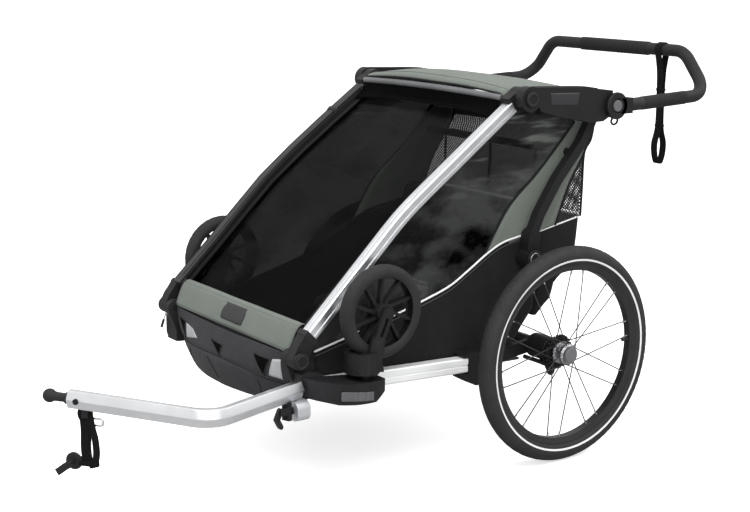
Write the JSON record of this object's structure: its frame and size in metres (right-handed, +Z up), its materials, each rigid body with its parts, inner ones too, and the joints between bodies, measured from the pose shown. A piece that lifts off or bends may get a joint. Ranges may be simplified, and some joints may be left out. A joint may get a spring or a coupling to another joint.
{
  "type": "child bicycle trailer",
  "caption": "Folding child bicycle trailer with side-mounted tow arm, large spoked wheels, stored stroller wheels, tilting handlebar and a fabric cabin with tinted windows.",
  "frame": {"origin": "bottom centre of the whole trailer's bounding box, on the ground in the plane midway between the wheels", "axes": "+X forward towards the bicycle, +Y to the trailer's left, +Z up"},
  "size_m": [1.6475, 0.8, 0.9165],
  "materials": {
    "frame_aluminium": "clear anodised, fine brushed",
    "dark_metal": "satin black",
    "black_plastic": "fine-grained moulded nylon",
    "rubber": "matte rubber",
    "tyre_rubber": "tyre rubber with a reflective sidewall stripe",
    "bright_metal": "bright steel",
    "grey_plastic": "satin grey moulding",
    "reflector": "moulded reflector",
    "dark_fabric": "coated ripstop polyester",
    "green_fabric": "sage green woven polyester",
    "seat_fabric": "padded knitted polyester",
    "webbing": "flat woven webbing",
    "tinted_film": "tinted clear vinyl",
    "mesh_fabric": "open knitted mesh",
    "foam_grip": "closed-cell foam"
  },
  "bodies": {
    "chassis": {"side_rails": "frame_aluminium", "front_corners": "black_plastic", "pivot_pins": "dark_metal", "cross_tubes": "dark_metal", "axle_housings": "black_plastic", "rear_corners": "black_plastic", "rear_uprights": "dark_metal", "floor_pan": "black_plastic", "side_platforms": "black_plastic", "platform_reflectors": "reflector", "nose_cover": "dark_fabric", "hitch_receiver": "frame_aluminium", "seat_bases": "seat_fabric", "seat_backs": "seat_fabric", "harness_straps": "webbing", "lower_side_panels": "dark_fabric", "side_windows": "tinted_film", "side_bands": "green_fabric", "rear_mesh": "mesh_fabric", "rear_bag": "dark_fabric"},
    "front_frame": {"pillars": "frame_aluminium", "pillar_ends": "black_plastic", "header_bar": "grey_plastic", "front_screen": "tinted_film", "front_band": "green_fabric"},
    "side_arms": {"side_arms": "black_plastic", "rear_roof_bar": "dark_metal", "roof_canopy": "green_fabric"},
    "rear_struts": {"rear_struts": "black_plastic"},
    "handlebar": {"handlebar_tube": "black_plastic", "handlebar_hubs": "black_plastic", "handlebar_grip": "foam_grip"},
    "wrist_strap": {"wrist_strap": "webbing"},
    "tow_arm": {"tow_arm": "frame_aluminium", "tow_fittings": "black_plastic", "tow_ball": "rubber"},
    "tow_latch": {"tow_latch": "black_plastic"},
    "hitch_strap": {"hitch_strap": "webbing"},
    "brake_pedal": {"brake_pedal": "black_plastic"},
    "wheel_left": {"tyre_left": "tyre_rubber", "rim_left": "black_plastic", "spokes_left": "bright_metal", "wheel_hub_left": "bright_metal"},
    "release_button_left": {"release_button_left": "grey_plastic"},
    "hub_button_left": {"hub_button_left": "black_plastic"},
    "stroller_fork_left": {"stroller_fork_left": "black_plastic"},
    "stroller_wheel_left": {"stroller_tyre_left": "rubber", "stroller_rim_left": "black_plastic"},
    "brake_pin_left": {"brake_pin_left": "bright_metal"},
    "wheel_right": {"tyre_right": "tyre_rubber", "rim_right": "black_plastic", "spokes_right": "bright_metal", "wheel_hub_right": "bright_metal"},
    "release_button_right": {"release_button_right": "grey_plastic"},
    "hub_button_right": {"hub_button_right": "black_plastic"},
    "stroller_fork_right": {"stroller_fork_right": "black_plastic"},
    "stroller_wheel_right": {"stroller_tyre_right": "rubber", "stroller_rim_right": "black_plastic"},
    "brake_pin_right": {"brake_pin_right": "bright_metal"}
  },
  "joints": [
    {"name": "frame_fold", "type": "hinge", "parent": "chassis", "child": "front_frame", "pos_m": [0.34725, 0, 0.322], "axis": [0, -1, 0], "range_deg": [0, 20], "deforming": ["front_screen", "side_windows", "side_bands", "rear_mesh", "rear_bag", "seat_backs", "harness_straps"]},
    {"name": "arm_fold", "type": "hinge", "parent": "front_frame", "child": "side_arms", "pos_m": [-0.24075, 0, 0.823], "axis": [0, -1, 0], "range_deg": [-40, 0], "deforming": ["roof_canopy"]},
    {"name": "strut_fold", "type": "hinge", "parent": "chassis", "child": "rear_struts", "pos_m": [-0.27875, 0, 0.457], "axis": [0, -1, 0], "range_deg": [0, 34.5]},
    {"name": "handlebar_tilt", "type": "hinge", "parent": "side_arms", "child": "handlebar", "pos_m": [-0.49275, 0, 0.794], "axis": [0, 1, 0], "range_deg": [-40, 60]},
    {"name": "wrist_strap_swing", "type": "hinge", "parent": "handlebar", "child": "wrist_strap", "pos_m": [-0.80575, 0.165, 0.899], "axis": [0, 1, 0], "range_deg": [-40, 40]},
    {"name": "tow_arm_release", "type": "slide", "parent": "chassis", "child": "tow_arm", "axis": [0.9493, 0.3145, 0], "range_m": [0, 0.06]},
    {"name": "tow_latch_swing", "type": "hinge", "parent": "tow_arm", "child": "tow_latch", "pos_m": [0.40725, 0.313, 0.232], "axis": [0, -1, 0], "range_deg": [0, 40]},
    {"name": "hitch_strap_swing", "type": "hinge", "parent": "tow_arm", "child": "hitch_strap", "pos_m": [0.76225, 0.164, 0.254], "axis": [-0.7982, -0.6024, 0], "range_deg": [-25, 25]},
    {"name": "brake_pedal_press", "type": "hinge", "parent": "chassis", "child": "brake_pedal", "pos_m": [-0.30875, 0, 0.2485], "axis": [0, -1, 0], "range_deg": [0, 25]},
    {"name": "wheel_left_spin", "type": "hinge", "parent": "chassis", "child": "wheel_left", "pos_m": [-0.30875, 0.378, 0.2485], "axis": [0, 1, 0], "continuous": true},
    {"name": "wheel_left_release", "type": "slide", "parent": "wheel_left", "child": "release_button_left", "axis": [0, -1, 0], "range_m": [0, 0.004]},
    {"name": "handlebar_button_left", "type": "slide", "parent": "handlebar", "child": "hub_button_left", "axis": [0, -1, 0], "range_m": [0, 0.0035]},
    {"name": "stroller_left_lift", "type": "slide", "parent": "chassis", "child": "stroller_fork_left", "axis": [0, 0, 1], "range_m": [0, 0.05]},
    {"name": "stroller_left_spin", "type": "hinge", "parent": "stroller_fork_left", "child": "stroller_wheel_left", "pos_m": [0.17285, 0.3337, 0.4094], "axis": [0, 1, 0], "continuous": true},
    {"name": "brake_pin_left_slide", "type": "slide", "parent": "chassis", "child": "brake_pin_left", "axis": [0, 1, 0], "range_m": [0, 0.0081]},
    {"name": "wheel_right_spin", "type": "hinge", "parent": "chassis", "child": "wheel_right", "pos_m": [-0.30875, -0.378, 0.2485], "axis": [0, 1, 0], "continuous": true},
    {"name": "wheel_right_release", "type": "slide", "parent": "wheel_right", "child": "release_button_right", "axis": [0, 1, 0], "range_m": [0, 0.004]},
    {"name": "handlebar_button_right", "type": "slide", "parent": "handlebar", "child": "hub_button_right", "axis": [0, 1, 0], "range_m": [0, 0.0035]},
    {"name": "stroller_right_lift", "type": "slide", "parent": "chassis", "child": "stroller_fork_right", "axis": [0, 0, 1], "range_m": [0, 0.05]},
    {"name": "stroller_right_spin", "type": "hinge", "parent": "stroller_fork_right", "child": "stroller_wheel_right", "pos_m": [0.17285, -0.3337, 0.4094], "axis": [0, 1, 0], "continuous": true},
    {"name": "brake_pin_right_slide", "type": "slide", "parent": "chassis", "child": "brake_pin_right", "axis": [0, -1, 0], "range_m": [0, 0.0081]}
  ],
  "couplings": [
    {"joint": "arm_fold", "follows": "frame_fold", "ratio": -1.992},
    {"joint": "strut_fold", "follows": "frame_fold", "ratio": 1.72},
    {"joint": "brake_pin_left_slide", "follows": "brake_pedal_press", "m_per_rad": 0.018335},
    {"joint": "brake_pin_right_slide", "follows": "brake_pedal_press", "m_per_rad": 0.018335}
  ]
}
